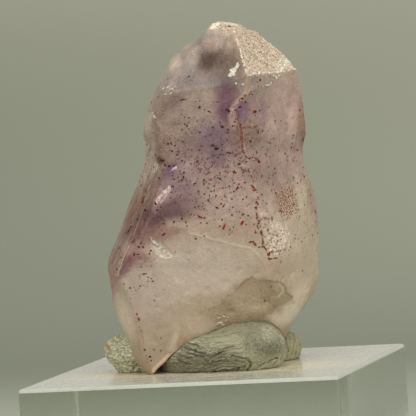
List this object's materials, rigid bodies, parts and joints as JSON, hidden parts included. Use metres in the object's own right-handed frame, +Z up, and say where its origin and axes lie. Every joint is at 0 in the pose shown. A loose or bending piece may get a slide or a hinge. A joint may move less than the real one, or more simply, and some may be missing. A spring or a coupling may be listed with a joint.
{
  "type": "amethyst scepter on an acrylic block",
  "caption": "Smoky amethyst scepter crystal with red flake inclusions, bedded in grey mounting putty on a small clear acrylic display block.",
  "frame": {"origin": "middle of the acrylic block's underside", "axes": "+Z up through the block, -Y towards the block's front face"},
  "size_m": [0.038, 0.038, 0.0535],
  "materials": {
    "crystal": "translucent milky quartz, violet and smoky zones, red-brown flakes, white crusted slope",
    "putty": "soft matte putty with folds and fingerprint lines",
    "acrylic": "polished clear acrylic with fine scratches"
  },
  "bodies": {
    "root": {"scepter_crystal": "crystal", "mounting_putty": "putty", "acrylic_block": "acrylic"}
  },
  "joints": []
}
